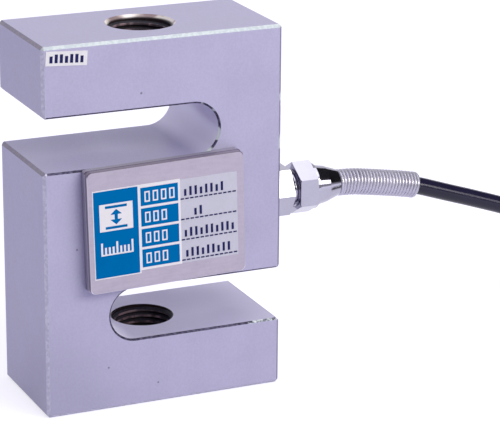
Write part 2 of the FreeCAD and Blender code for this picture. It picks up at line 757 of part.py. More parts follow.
def core_points(places):
    """From the end of the jacket through the gland and the lead bore to the board."""
    (aside, up), in_bore, on_board = places
    level = SIZE["gland_level"]
    board_face = -amount("web/2 + board_thick + core_radius + play")
    points = [
        (amount("width/2 + seal_start - cores_gap"), aside, level + up),
        (amount("width/2 - stub_long"), aside, level + up),
    ]
    points += [(x, y, level + in_bore) for x, y in CORE_BENDS]
    points.append((amount("board_left + board_wide/2 + core_end"), board_face, level + on_board))
    return points


def cores():
    solids = {}
    for name, places in CORE_PLACES.items():
        radius = SIZE["drain_radius"] if name == "drain_wire" else SIZE["core_radius"]
        wire, tightest = rounded_wire(core_points(places))
        solids[name] = swept(wire, radius)
        feature_of(name, solids[name])
        print(f"{name}: tightest bend {tightest:.1f} mm")
    return list(solids.values())


def solder_joints():
    face = -amount("web/2 + board_thick")
    columns = (
        (amount("board_left + board_wide/2 + core_column"), len(CORE_PLACES), SIZE["core_row"]),
        (amount("board_left + wire_column"), GAUGE_WIRES, SIZE["wire_row"]),
    )
    radius, high = SIZE["solder_radius"], SIZE["solder_high"]
    joints = []
    for column, count, pitch in columns:
        for row in range(count):
            height = SIZE["gland_level"] + (row - (count - 1) / 2) * pitch
            base = FreeCAD.Vector(column, face, height)
            joints.append(Part.makeCone(radius, radius / 2, high, base, FreeCAD.Vector(0, -1, 0)))
    return joints


GAUGE_WIRES = 4
# Height of a wire's start on its gauge past the gauge's middle, and how far it stands off.
WIRE_STARTS = {"gauge_near": (1.6, 0.9), "gauge_far": (2.4, 1.8)}
WIRE_INSET = 0.6
WIRE_RISE = 0.45


def gauge_wires():
    """Enamelled wires from the front gauges to the left column of the board's solder joints."""
    radius = SIZE["gauge_wire_radius"]
    start_face = -amount("web/2 + gauge_thick + gauge_wire_radius")
    end_face = -amount("web/2 + board_thick + gauge_wire_radius + play")
    wires = []
    for row, gauge in enumerate(("gauge_far", "gauge_near", "gauge_near", "gauge_far")):
        up, stand_off = WIRE_STARTS[gauge]
        height = SIZE["gland_level"] + (row - (GAUGE_WIRES - 1) / 2) * SIZE["wire_row"]
        begin = -SIZE[gauge] + amount("gauge_wide/2") - WIRE_INSET
        start = SIZE["beam_level"] + (up if row > 1 else -up)
        wire, _ = rounded_wire((
            (begin, start_face, start),
            (begin + WIRE_RISE, start_face - stand_off, height),
            (SIZE["board_left"] - WIRE_INSET, end_face - WIRE_INSET, height),
            (amount("board_left + wire_column") - amount("solder_radius"), end_face, height),
        ))
        wires.append(swept(wire, radius))
    return wires


def bridge():
    strain_gauges()
    bridge_board()
    core_solids = cores()
    joints = solder_joints()
    wires = gauge_wires()
    feature_of("solder_joints", Part.makeCompound(joints))
    feature_of("gauge_wires", Part.makeCompound(wires))
    doc.recompute()

    gap = SIZE["play"]
    wide, high = SIZE["recess_wide"] - 2 * gap, SIZE["recess_high"] - 2 * gap
    thick = SIZE["potting_thick"]
    for label, start in (("front_potting", -amount("web/2") - thick), ("back_potting", amount("web/2"))):
        corner = FreeCAD.Vector(-wide / 2, start, SIZE["beam_level"] - high / 2)
        block = Part.makeBox(wide, thick, high, corner)
        upright = [edge for edge in block.Edges if runs_along(edge, "y")]
        block = block.makeFillet(SIZE["recess_corner"] - gap, upright)
        inside = [part.Shape for part in SUBPARTS if part.Label.startswith("strain_gauge_" + label[:4])]
        if label == "front_potting":
            inside += [doc.getObject("bridge_board").Shape] + joints + wires + core_solids
        feature_of(label, block.cut(inside))


# --- gland and strain relief --------------------------------------------------------------

def polygon_loop(sketch, places):
    """A closed run of straight lines without sizes. Returns the number of its first line."""
    first = sketch.GeometryCount
    count = len(places)
    for index, place in enumerate(places):
        following = places[(index + 1) % count]
        sketch.addGeometry(Part.LineSegment(FreeCAD.Vector(*place, 0), FreeCAD.Vector(*following, 0)), False)
    for index in range(count):
        following = first + (index + 1) % count
        sketch.addConstraint(Sketcher.Constraint("Coincident", first + index, 2, following, 1))
    return first


def hex_reach():
    return SIZE["hex_flat"] / math.cos(math.pi / 6)


def hexagon(body, name, start, end, first_corner):
    """A hexagonal prism about the body's X axis, with its first corner at an angle in degrees."""
    sketch = sketch_on(body, name + "_outline", "YZ_Plane", ("0", "0", start))
    reach = hex_reach()
    angles = [math.radians(first_corner + 60 * side) for side in range(6)]
    polygon_loop(sketch, [(reach * math.cos(angle), reach * math.sin(angle)) for angle in angles])
    for index in range(5):
        sketch.addConstraint(Sketcher.Constraint("Equal", index, index + 1))
    ring = Part.Circle(FreeCAD.Vector(0, 0, 0), FreeCAD.Vector(0, 0, 1), reach)
    guide = sketch.addGeometry(ring, True)
    sketch.addConstraint(Sketcher.Constraint("Coincident", guide, 3, -1, 1))
    for index in range(6):
        sketch.addConstraint(Sketcher.Constraint("PointOnObject", index, 1, guide))
    number = sketch.addConstraint(Sketcher.Constraint("Radius", guide, reach))
    sketch.setExpression(f"Constraints[{number}]", "Sizes.hex_flat / cos(30 deg)")
    sketch.addConstraint(Sketcher.Constraint("Vertical" if first_corner else "Horizontal", 5))
    add_pad(body, name, sketch, f"{end} - {start}")


def turn_corners(body, name, start, end):
    """Cut the hexagon's corners back at both ends with a 30 degree bevel."""
    root = SIZE["hex_corner"]
    reach = hex_reach() + SIZE["hex_clearance"]
    lean = (reach - root) * math.tan(math.radians(30))
    sketch = sketch_on(body, name + "_section", "XZ_Plane")
    first, last = amount(start), amount(end)
    for near, far in ((first, first + lean), (last, last - lean)):
        corners = [(near, root), (far, reach), (near, reach)]
        base = polygon_loop(sketch, corners)
        for index, (x, y) in enumerate(corners):
            sketch.addConstraint(Sketcher.Constraint("DistanceX", -1, 1, base + index, 1, x))
            sketch.addConstraint(Sketcher.Constraint("DistanceY", -1, 1, base + index, 1, y))
    groove = body.newObject("PartDesign::Groove", name)
    groove.Profile = sketch
    groove.ReferenceAxis = (sketch, ["H_Axis"])
    groove.Angle = 360.0


COLLAR_RIDGES = 8


def gland():
    washer = turned("gland_washer", (
        ("0", "stub_radius + play"), ("washer_thick", "stub_radius + play"),
        ("washer_thick", "washer_radius"), ("0", "washer_radius"),
    ))
    keep(washer, "gland_washer")

    # Gland body: thread in the block, hexagon, and a threaded collar that carries the nut.
    collar = [
        ("- stub_long", "cable_way"), ("seal_start", "cable_way"), ("seal_start", "seal_seat"),
        ("collar_end", "seal_seat"), ("collar_end", "collar_radius"),
    ]
    place = "collar_end - thread_pitch/4"
    for _ in range(COLLAR_RIDGES):
        for radius in ("collar_radius", "collar_crest", "collar_crest", "collar_radius"):
            place += " - thread_pitch/4"
            collar.append((place, radius))
    collar += [
        ("washer_thick", "collar_radius"), ("washer_thick", "stub_radius"), ("- stub_long", "stub_radius"),
    ]
    body = turned("gland_body", collar)
    hexagon(body, "body_hexagon", "washer_thick", "hex_end", 0)
    turn_corners(body, "body_corners", "washer_thick", "hex_end")
    bore = sketch_on(body, "body_bore", "YZ_Plane", ("0", "0", "hex_end"))
    circle(bore, "cable_way")
    add_pocket(body, "body_way", bore, "hex_end + stub_long")
    keep(body, "gland_body")

    seal = turned("gland_seal", (
        ("seal_start", "seal_way"), ("seal_end", "seal_way"),
        ("seal_end", "seal_seat - fit_gap"), ("seal_start", "seal_seat - fit_gap"),
    ))
    keep(seal, "gland_seal")
    ring = turned("clamp_ring", (
        ("seal_end", "cable_way"), ("ring_end", "cable_way"),
        ("ring_end", "seal_seat"), ("seal_end", "seal_seat + play"),
    ))
    keep(ring, "clamp_ring")

    nut = turned("gland_nut", (
        ("nut_start", "nut_thread"), ("nut_cone", "nut_thread"), ("nut_throat", "cable_way"),
        ("nose_end", "cable_way"), ("nose_end", "nose_tip"),
        ("shoulder_end/2 + nose_end/2", "nose_middle"), ("shoulder_end", "nose_radius"),
        ("shoulder_end", "shoulder_radius"), ("nut_start", "shoulder_radius"),
    ))
    hexagon(nut, "nut_hexagon", "nut_start", "nut_flats", 30)
    turn_corners(nut, "nut_corners", "nut_start", "nut_flats")
    bore = sketch_on(nut, "nut_bore", "YZ_Plane", ("0", "0", "nut_flats"))
    circle(bore, "nut_thread")
    add_pocket(nut, "nut_way", bore, "nut_flats - nut_start")
    keep(nut, "gland_nut")


# --- cable --------------------------------------------------------------------------------

# Route of the cable's middle line, from the gland's seal to the coil's outer side. The cable
# leaves the gland level, droops and comes down to the surface that the block stands on.
CABLE_ROUTE = (
    (34.0, 0.0, 37.6),
    (46.4, 0.0, 37.6),
    (51.6, 0.0, 36.8),
    (66.0, 0.0, 34.5),
    (77.0, 0.2, 30.4),
    (90.0, 0.5, 25.6),
    (103.2, 2.8, 17.4),
    (113.2, 6.8, 6.5),
    (123.5, 10.6, 2.8),
    (134.0, 11.0, 2.8),
)
# The cable's end lies on the coil and follows its turns: angle and radius about the coil.
TAIL = ((50, 23.85), (14, 23.45), (-24, 22.85), (-62, 21.65), (-100, 19.65))


def coil_centre():
    return FreeCAD.Vector(SIZE["coil_forward"], -SIZE["coil_aside"], 0)


def on_coil(angle, radius, height):
    """A point over the coil, by its angle in degrees and its radius about the coil's middle."""
    turn = math.radians(angle)
    return coil_centre() + FreeCAD.Vector(radius * math.cos(turn), radius * math.sin(turn), height)


def coil_top():
    return SIZE["tie_thick"] + (SIZE["coil_layers"] - 1) * SIZE["cable_pitch"] + 2 * SIZE["cable_radius"]


def tail_route():
    height = coil_top() + amount("sleeve_radius + play")
    return [tuple(on_coil(angle, radius, height)) for angle, radius in TAIL]


def spring_axis():
    """The strain relief spring's middle line: the cable's, from the nut's nose on."""
    wire, _ = rounded_wire(CABLE_ROUTE)
    start = amount("width/2 + nose_end")
    corner = FreeCAD.Vector(*CABLE_ROUTE[1])
    down = (FreeCAD.Vector(*CABLE_ROUTE[2]) - corner).normalize()
    end = corner + down * (SIZE["spring_long"] - (corner.x - start))
    return clipped(wire, start, end.x)


def clipped(wire, low, high):
    """The part of a wire between two values of X."""
    edges = []
    for edge in wire.Edges:
        first, last = edge.FirstParameter, edge.LastParameter
        ends = [edge.valueAt(first).x, edge.valueAt(last).x]
        if min(ends) >= high or max(ends) <= low:
            continue
        cuts = []
        for limit, fallback in ((low, first), (high, last)):
            inside = min(ends) < limit < max(ends)
            cuts.append(parameter_at(edge, limit) if inside else fallback)
        edges.append(edge.Curve.toShape(min(cuts), max(cuts)))
    return Part.Wire(Part.__sortEdges__(edges))


def parameter_at(edge, place):
    """Where an edge that runs along X passes a value of X, by halving."""
    low, high = edge.FirstParameter, edge.LastParameter
    rising = edge.valueAt(high).x > edge.valueAt(low).x
    for _ in range(60):
        middle = (low + high) / 2
        if (edge.valueAt(middle).x < place) == rising:
            low = middle
        else:
            high = middle
    return (low + high) / 2


def cable():
    wire, tightest = rounded_wire(CABLE_ROUTE)
    feature_of("cable_jacket", swept(wire, SIZE["cable_radius"]))
    print(f"cable_jacket: {wire.Length:.0f} mm, tightest bend {tightest:.1f} mm")

    axis = spring_axis()
    outside = swept(axis, SIZE["spring_radius"])
    inside = swept(axis, SIZE["spring_radius"] - SIZE["spring_wire"])
    feature_of("strain_relief_spring", outside.cut(inside))

    tail, tightest = rounded_wire(tail_route())
    feature_of("cable_tail", swept(tail, SIZE["cable_radius"]))
    print(f"cable_tail: {tail.Length:.0f} mm, tightest bend {tightest:.1f} mm")


def cable_coil():
    """The outer shape of the wound cable, with neat turns side by side and in layers."""
    body = doc.addObject("PartDesign::Body", "cable_coil")
    sketch = sketch_on(body, "coil_section", "XZ_Plane")
    half = amount("cable_pitch") * (SIZE["coil_columns"] - 1) / 2 + SIZE["cable_radius"]
    inner, outer = SIZE["coil_middle"] - half, SIZE["coil_middle"] + half
    low, high = SIZE["tie_thick"], coil_top()
    corners = [(inner, low), (outer, low), (outer, high), (inner, high)]
    polygon_loop(sketch, corners)
    columns = "(Sizes.coil_columns - 1) / 2 * Sizes.cable_pitch + Sizes.cable_radius"
    top = "Sizes.tie_thick + (Sizes.coil_layers - 1) * Sizes.cable_pitch + 2 * Sizes.cable_radius"
    across = (f"Sizes.coil_middle - ({columns})", f"Sizes.coil_middle + {columns}")
    for index, (x, y) in enumerate(corners):
        number = sketch.addConstraint(Sketcher.Constraint("DistanceX", -1, 1, index, 1, x))
        sketch.setExpression(f"Constraints[{number}]", across[0] if x == inner else across[1])
        number = sketch.addConstraint(Sketcher.Constraint("DistanceY", -1, 1, index, 1, y))
        sketch.setExpression(f"Constraints[{number}]", "Sizes.tie_thick" if y == low else top)
    turning = body.newObject("PartDesign::Revolution", "coil_turning")
    turning.Profile = sketch
    turning.ReferenceAxis = (sketch, ["V_Axis"])
    turning.Angle = 360.0
    rounding(body, "coil_rounding", "coil_round", lambda edge: isinstance(edge.Curve, Part.Circle))
    bind(body, "Placement.Base.x", "coil_forward")
    bind(body, "Placement.Base.y", "- coil_aside")
    keep(body, "cable_coil")
    return inner, outer


TIE_ANGLES = (118, -176)


def coil_ties(inner, outer):
    """Two straps round the coil's turns, each with a head on top. The coil lies on them."""
    thick, gap = SIZE["tie_thick"], SIZE["tie_gap"]
    wide = SIZE["tie_wide"]
    low, high = SIZE["tie_thick"] - gap / 2, coil_top() + gap / 2
    near, far = inner - gap, outer + gap / 2
    head, head_start = SIZE["tie_head"], far - amount("tie_head + tie_head_inset")
    ties = []
    for angle in TIE_ANGLES:
        strap = Part.makeBox(
            far - near + 2 * thick, wide, high + thick, FreeCAD.Vector(near - thick, -wide / 2, 0)
        )
        inside = Part.makeBox(far - near, wide, high - low, FreeCAD.Vector(near, -wide / 2, low))
        lock = Part.makeBox(head, head, 2 * thick, FreeCAD.Vector(head_start, -head / 2, high + thick))
        tie = strap.cut(inside).fuse(lock).removeSplitter()
        tie.rotate(FreeCAD.Vector(0, 0, 0), FreeCAD.Vector(0, 0, 1), angle)
        tie.translate(coil_centre())
        ties.append(tie)
    feature_of("coil_ties", Part.makeCompound(ties))


LEADS = {
    # name: (place in the jacket's end, where the lead's end lies: angle and radius on the coil)
    "red_lead": ((-0.75, 0.75), (-146, 13.6)),
    "green_lead": ((-0.75, -0.75), (-149, 16.4)),
    "shield_drain": ((0.0, 0.0), (-143, 19.3)),
    "white_lead": ((0.75, -0.75), (-146, 22.0)),
    "black_lead": ((0.75, 0.75), (-142, 24.6)),
}


def flying_leads():
    """The stripped end of the cable: four coloured leads and the bare shield drain."""
    before, end = (FreeCAD.Vector(*point) for point in tail_route()[-2:])
    heading = (end - before).normalize()
    across = FreeCAD.Vector(-heading.y, heading.x, 0)
    tips = []
    for name, ((aside, lift), (angle, radius)) in LEADS.items():
        bare = name == "shield_drain"
        thick = SIZE["twist_radius" if bare else "lead_radius"]
        start = end + across * aside + FreeCAD.Vector(0, 0, lift)
        ground = coil_top() + SIZE["tie_gap"] + thick
        rest = on_coil(angle, radius, ground)
        middle = start + heading * SIZE["lead_straight"]
        low = (middle + rest) / 2
        low.z = ground
        wire, _ = rounded_wire([tuple(point) for point in (start, middle, low, rest)])
        feature_of(name, swept(wire, thick))
        if not bare:
            tips.append(Part.makeCylinder(SIZE["tip_radius"], SIZE["tip_long"], rest, rest - low))
    feature_of("bared_tips", Part.makeCompound(tips))

    tail, _ = rounded_wire(tail_route())
    last = tail.Edges[-1]
    along = last.tangentAt(last.LastParameter)
    back = last.valueAt(last.LastParameter) - along * SIZE["sleeve_long"]
    shell = Part.makeCylinder(SIZE["sleeve_radius"], SIZE["sleeve_long"], back, along)
    way = Part.makeCylinder(amount("cable_radius + fit_gap"), SIZE["sleeve_long"], back, along)
    feature_of("end_sleeve", shell.cut(way))


# --- build --------------------------------------------------------------------------------

load_cell_body()
covers()
prints()
paper_label()
bridge()
gland()
cable()
coil_inner, coil_outer = cable_coil()
coil_ties(coil_inner, coil_outer)
flying_leads()
doc.recompute()

faults = [f"{item.Name} is {item.State}" for item in doc.Objects if {"Invalid", "Error"} & set(item.State)]
for part in SUBPARTS:
    if part.Shape.isNull() or not part.Shape.isValid():
        faults.append(f"{part.Label} has no valid shape")
if faults:
    raise SystemExit("\n".join(faults))

os.makedirs("parts", exist_ok=True)
for part in SUBPARTS:
    part.Shape.exportStep(f"parts/{part.Label}.step")
print(f"{len(SUBPARTS)} sub-parts written")
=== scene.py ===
import math

import bmesh
import bpy
from mathutils import Matrix, Vector


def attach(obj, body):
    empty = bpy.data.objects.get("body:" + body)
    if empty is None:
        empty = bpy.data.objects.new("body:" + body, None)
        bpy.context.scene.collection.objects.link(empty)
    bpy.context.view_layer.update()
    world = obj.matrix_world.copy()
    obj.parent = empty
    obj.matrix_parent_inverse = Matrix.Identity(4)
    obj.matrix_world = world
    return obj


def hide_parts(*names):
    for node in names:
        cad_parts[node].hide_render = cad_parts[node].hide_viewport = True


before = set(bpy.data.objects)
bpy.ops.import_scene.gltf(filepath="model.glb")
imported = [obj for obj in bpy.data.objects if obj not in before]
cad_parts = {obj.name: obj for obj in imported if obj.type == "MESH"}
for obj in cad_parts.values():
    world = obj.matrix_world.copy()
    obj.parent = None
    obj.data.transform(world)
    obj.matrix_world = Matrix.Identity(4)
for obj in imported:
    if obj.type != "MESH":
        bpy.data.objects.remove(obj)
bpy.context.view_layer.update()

MM = 0.001

# The block, in millimetres: it stands on Z = 0 and its load axis is X = Y = 0.
BLOCK_WIDE = 50.8
BLOCK_TALL = 76.2
ARM = 14.3
SLOT_GAP = 10.9
SLOTS = (
    (ARM, ARM + SLOT_GAP),
    (BLOCK_TALL - ARM - SLOT_GAP, BLOCK_TALL - ARM),
)


# --- camera -------------------------------------------------------------------------------

# Places and lengths are in millimetres, and angles in degrees.
CAMERA_PLACE = Vector((-178.89, -447.58, 191.17))
CAMERA_HEADING = 24.42
CAMERA_DIP = 17.81
CAMERA_ROLL = 0.44
LENS = 178.8
SENSOR = 36.0


def make_camera():
    """A long lens in front of the nameplate, to its left and a little above."""
    camera = bpy.data.objects.new("camera", bpy.data.cameras.new("camera"))
    bpy.context.collection.objects.link(camera)
    camera.data.lens = LENS
    camera.data.sensor_width = SENSOR
    turn = (
        Matrix.Rotation(-math.radians(CAMERA_HEADING), 4, "Z")
        @ Matrix.Rotation(math.pi / 2 - math.radians(CAMERA_DIP), 4, "X")
        @ Matrix.Rotation(math.radians(CAMERA_ROLL), 4, "Z")
    )
    camera.matrix_world = Matrix.Translation(CAMERA_PLACE * MM) @ turn
    bpy.context.scene.camera = camera


make_camera()


# --- cable --------------------------------------------------------------------------------

CABLE_RADIUS = 1.9
CABLE_PITCH = 3.9
GLAND_LEVEL = 37.6
NUT_END = 44.0
CABLE_ROUTE = (
    (34.0, 0.0, GLAND_LEVEL),
    (46.4, 0.0, GLAND_LEVEL),
    (51.6, 0.0, 36.8),
    (60.0, 0.0, 35.4),
    (63.5, 0.0, 34.6),
    (70.0, 0.0, 32.4),
    (77.0, 0.2, 30.1),
    (90.0, 0.5, 25.6),
    (103.2, 2.8, 17.4),
    (113.2, 6.8, 6.5),
    (123.5, 10.6, 2.8),
    (134.0, 11.0, 2.8),
)
COIL_CENTRE = Vector((134.0, -17.7, 0.0))
COIL_ENTRY = 28.7
COIL_MIDDLE = 19.0
COIL_COLUMNS = 4
COIL_LAYERS = 6
COIL_LOWEST = 2.8
POINTS_A_TURN = 24
TAIL_LEVEL = 26.4
# Angle round the coil in degrees, and distance from its middle.
TAIL = ((50, 23.85), (14, 23.45), (-24, 22.85), (-62, 21.65), (-100, 19.65))


def round_coil(angle, radius, level):
    """A point at an angle and a distance from the coil's axis, at a height."""
    return COIL_CENTRE + Vector((radius * math.cos(angle), radius * math.sin(angle), level))


def coil_turns():
    """Control points of the coil's turns: in and out again, layer upon layer."""
    half_width = CABLE_PITCH * (COIL_COLUMNS - 1) / 2
    outer = COIL_MIDDLE + half_width
    inner = COIL_MIDDLE - half_width
    # The spline runs a little inside its points.
    spread = 4 / (3 + math.cos(2 * math.pi / POINTS_A_TURN))
    last = (COIL_COLUMNS * COIL_LAYERS - 1) * POINTS_A_TURN
    points = []
    # The route's last point stands in place of the first two.
    for step in range(2, last + 1):
        turns = step / POINTS_A_TURN
        layer = int(turns // COIL_COLUMNS)
        along = turns - layer * COIL_COLUMNS
        across = CABLE_PITCH * min(along, COIL_COLUMNS - 1)
        radius = outer - across if layer % 2 == 0 else inner + across
        rise = max(0.0, along - (COIL_COLUMNS - 1))
        lift = CABLE_PITCH * (layer + math.sqrt(2 * rise - rise * rise))
        if turns < 0.5:
            # The cable comes in beside the outermost turn.
            radius += (1 - turns * 2) ** 2 * (COIL_ENTRY - outer)
        angle = math.pi / 2 - 2 * math.pi * turns
        points.append(round_coil(angle, radius * spread, COIL_LOWEST + lift))
    return points


def tail_points():
    """Control points of the cable's end, which lies on top of the coil."""
    return [round_coil(math.radians(angle), radius, TAIL_LEVEL) for angle, radius in TAIL]


def spline_object(name, points, radius=0.0, sides=0, resolution=8):
    """A smooth open curve along control points, in millimetres: a tube if it has a radius, else a line."""
    curve = bpy.data.curves.new(name, "CURVE")
    curve.dimensions = "3D"
    curve.resolution_u = resolution
    # The tube's radius is the bevel's times the points' own.
    curve.bevel_depth = 1.0 if radius else 0.0
    curve.bevel_resolution = sides
    curve.use_fill_caps = radius > 0
    spline = curve.splines.new("NURBS")
    spline.points.add(len(points) - 1)
    for point, place in zip(spline.points, points):
        point.co = (*(Vector(place) * MM), 1.0)
        point.radius = radius * MM
    spline.order_u = 3
    spline.use_endpoint_u = True
    piece = bpy.data.objects.new(name, curve)
    bpy.context.collection.objects.link(piece)
    return piece


def make_cable():
    """The whole cable: through the gland and spring, down to the surface, round the coil, and its end."""
    points = [*CABLE_ROUTE, *coil_turns(), *tail_points()]
    cable = spline_object("cable", points, CABLE_RADIUS, sides=6)
    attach(cable, "root")
    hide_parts("cable_jacket", "cable_coil", "cable_tail")
    return cable


def route_line():
    """Closely spaced points of the cable's own line, from the block to the coil, in millimetres."""
    line = spline_object("line", CABLE_ROUTE, resolution=64)
    mesh = bpy.data.meshes.new_from_object(line)
    points = [vertex.co / MM for vertex in mesh.vertices]
    bpy.data.meshes.remove(mesh)
    bpy.data.objects.remove(line)
    return points


# --- strain relief spring -----------------------------------------------------------------

SPRING_LONG = 18.9
SPRING_RADIUS = 2.87
# The wire's radius: neighbouring turns run into each other a little.
SPRING_WIRE = 0.44
SPRING_PITCH = 0.76
POINTS_A_SPRING_TURN = 16


def make_spring():
    """Close turns of bright wire round the cable, from the gland nut on, with flat end turns."""
    line = route_line()
    begin = next(index for index, point in enumerate(line) if point.x >= NUT_END)
    travelled = 0.0
    stations = [(0.0, line[begin])]
    for before, after in zip(line[begin:], line[begin + 1:]):
        travelled += (after - before).length
        stations.append((travelled, after))
    room = SPRING_LONG - 2 * SPRING_WIRE
    turn_count = room / SPRING_PITCH + 2
    side = Vector((0, 1, 0))
    points = []
    index = 0
    for step in range(int(turn_count * POINTS_A_SPRING_TURN)):
        turns = step / POINTS_A_SPRING_TURN
        place = SPRING_WIRE + min(max(turns - 1, 0) * SPRING_PITCH, room)
        while stations[index + 1][0] < place:
            index += 1
        (low, before), (high, after) = stations[index], stations[index + 1]
        centre = before.lerp(after, (place - low) / (high - low))
        up = (after - before).normalized().cross(side)
        angle = 2 * math.pi * turns
        reach = SPRING_RADIUS - SPRING_WIRE
        points.append(centre + (up * math.cos(angle) + side * math.sin(angle)) * reach)
    spring = spline_object("spring_turns", points, SPRING_WIRE, sides=3, resolution=2)
    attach(spring, "root")
    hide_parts("strain_relief_spring")
    return spring


# --- load threads -------------------------------------------------------------------------

THREAD_PITCH = 1.27
THREAD_WALL = 6.37
THREAD_CREST = 5.74
THREAD_DEPTH = 14.15
THREAD_COLUMNS = 96
MOUTH_BEVEL = 0.76
# One turn of the ridge: the share of the pitch that is passed, and the radius there.
RIDGE = (
    (0.0, THREAD_WALL),
    (0.125, THREAD_WALL),
    (0.44, THREAD_CREST),
    (0.69, THREAD_CREST),
)


def thread_column(mesh, column, mouth, outward):
    """The thread's points at one angle, from its mouth inward."""
    passed = column / THREAD_COLUMNS
    angle = 2 * math.pi * passed
    turns = int(THREAD_DEPTH / THREAD_PITCH) + 3
    row = []
    for turn in range(turns + 1):
        for share, radius in RIDGE:
            deep = THREAD_PITCH * (turn - 1 + share - passed)
            deep = min(max(deep, MOUTH_BEVEL), THREAD_DEPTH)
            # The ridges rise out of the wall past the bevel, and run out toward the slot.
            risen = THREAD_WALL - (deep - MOUTH_BEVEL)
            running_out = THREAD_WALL - 0.6 * (THREAD_DEPTH - deep)
            reach = max(radius, risen, running_out) * MM
            level = (mouth - outward * deep) * MM
            row.append(mesh.verts.new((reach * math.cos(angle), reach * math.sin(angle), level)))
    return row


def join_columns(mesh, row, following, shift, outward):
    """Faces between two columns, one of them shifted by a number of points along the other."""
    for index in range(max(0, -shift), len(row) - 1):
        low, high = index + shift, index + 1 + shift
        corners = [row[index], following[low], following[high], row[index + 1]]
        if outward < 0:
            corners.reverse()
        mesh.faces.new(corners)


def make_thread(name, mouth, outward):
    """Ridges of a load thread, run out smoothly toward both of its ends."""
    mesh = bmesh.new()
    rows = [thread_column(mesh, column, mouth, outward) for column in range(THREAD_COLUMNS)]
    for row, following in zip(rows, rows[1:]):
        join_columns(mesh, row, following, 0, outward)
    # The last column meets the first one a turn further on.
    join_columns(mesh, rows[-1], rows[0], -len(RIDGE), outward)
    data = bpy.data.meshes.new(name)
    bmesh.ops.remove_doubles(mesh, verts=mesh.verts, dist=1e-7)
    mesh.to_mesh(data)
    mesh.free()
    for face in data.polygons:
        face.use_smooth = False
    piece = bpy.data.objects.new(name, data)
    bpy.context.collection.objects.link(piece)
    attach(piece, "root")
    return piece


# --- shader helpers -----------------------------------------------------------------------

def tone(code):
    """A linear colour from a hexadecimal display colour."""
    channels = [int(code[start:start + 2], 16) / 255 for start in (0, 2, 4)]
    linear = [c / 12.92 if c <= 0.04045 else ((c + 0.055) / 1.055) ** 2.4 for c in channels]
    return (*linear, 1.0)


def add_node(tree, kind, **settings):
    """A new node with its settings."""
    node = tree.nodes.new(kind)
    for name, value in settings.items():
        setattr(node, name, value)
    return node


def feed(tree, socket, value):
    """Link a socket from another, or set it to a plain value."""
    if isinstance(value, bpy.types.NodeSocket):
        tree.links.new(value, socket)
    else:
        socket.default_value = value


def calculate(tree, operation, *values, clamp=False):
    """The result of a sum, product or other operation on numbers and sockets."""
    node = add_node(tree, "ShaderNodeMath", operation=operation, use_clamp=clamp)
    for socket, value in zip(node.inputs, values):
        feed(tree, socket, value)
    return node.outputs[0]


def blend(tree, factor, first, second):
    """A colour between two: the first where the factor is 0, the second where it is 1."""
    node = add_node(tree, "ShaderNodeMix", data_type="RGBA")
    feed(tree, node.inputs["Factor"], factor)
    # The colours' sockets come after those for numbers and vectors.
    feed(tree, node.inputs[6], first)
    feed(tree, node.inputs[7], second)
    return node.outputs[2]


def remap(tree, value, low, high, new_low=0.0, new_high=1.0):
    """A smooth step from one value to another, over a range of the input."""
    node = add_node(tree, "ShaderNodeMapRange", interpolation_type="SMOOTHSTEP")
    for socket, entry in zip(node.inputs, (value, low, high, new_low, new_high)):
        feed(tree, socket, entry)
    return node.outputs[0]


def noise(tree, where, scale, detail):
    """Noise at a place, between about 0.3 and 0.7."""
    node = add_node(tree, "ShaderNodeTexNoise")
    feed(tree, node.inputs["Vector"], where)
    feed(tree, node.inputs["Scale"], scale)
    node.inputs["Detail"].default_value = detail
    return node.outputs["Fac"]


def speckle(tree, where, size, detail=2.0):
    """Noise with features of about the given size in millimetres."""
    return noise(tree, where, 1000.0 / size, detail)


def place_socket(tree):
    """The place in the object's own frame, in metres."""
    return add_node(tree, "ShaderNodeTexCoord").outputs["Object"]


def new_group(name, inputs, outputs):
    """A node group with its named sockets: the group, what it is given and what it puts out."""
    group = bpy.data.node_groups.new(name, "ShaderNodeTree")
    for label, kind, value in inputs:
        socket = group.interface.new_socket(label, in_out="INPUT", socket_type=kind)
        socket.default_value = value
    for label, kind in outputs:
        group.interface.new_socket(label, in_out="OUTPUT", socket_type=kind)
    start = add_node(group, "NodeGroupInput")
    end = add_node(group, "NodeGroupOutput")
    return group, start.outputs, end.inputs


def use_group(tree, group, **values):
    """The outputs of a group, given its inputs by name, with _ for each space."""
    node = add_node(tree, "ShaderNodeGroup", node_tree=group)
    for label, value in values.items():
        feed(tree, node.inputs[label.replace("_", " ")], value)
    return node.outputs


def per_metre(tree, size):
    """How many lengths of a size in millimetres go into a metre."""
    return calculate(tree, "DIVIDE", 1000.0, size)


COLOUR = "NodeSocketColor"
NUMBER = "NodeSocketFloat"


def make_mottle():
    """A colour with faint clouds and fine grain in it, and the two patterns themselves."""
    group, given, result = new_group(
        "mottle",
        [
            ("Colour", COLOUR, (0.5, 0.5, 0.5, 1)), ("Cloud Size", NUMBER, 6.0), ("Grain Size", NUMBER, 0.35),
            ("Clouds", NUMBER, 0.06), ("Grain", NUMBER, 0.06),
        ],
        [("Colour", COLOUR), ("Grain", NUMBER), ("Clouds", NUMBER)],
    )
    where = place_socket(group)
    patterns = []
    for label, detail in (("Cloud Size", 3.0), ("Grain Size", 2.0)):
        scale = per_metre(group, given[label])
        patterns.append(remap(group, noise(group, where, scale, detail), 0.3, 0.7, -1.0, 1.0))
    clouds, grain = patterns
    change = calculate(
        group, "ADD",
        calculate(group, "MULTIPLY", clouds, given["Clouds"]),
        calculate(group, "MULTIPLY_ADD", grain, given["Grain"], 1.0),
    )
    scaled = add_node(group, "ShaderNodeVectorMath", operation="SCALE")
    feed(group, scaled.inputs[0], given["Colour"])
    feed(group, scaled.inputs["Scale"], change)
    feed(group, result["Colour"], scaled.outputs[0])
    feed(group, result["Grain"], grain)
    feed(group, result["Clouds"], clouds)
    return group


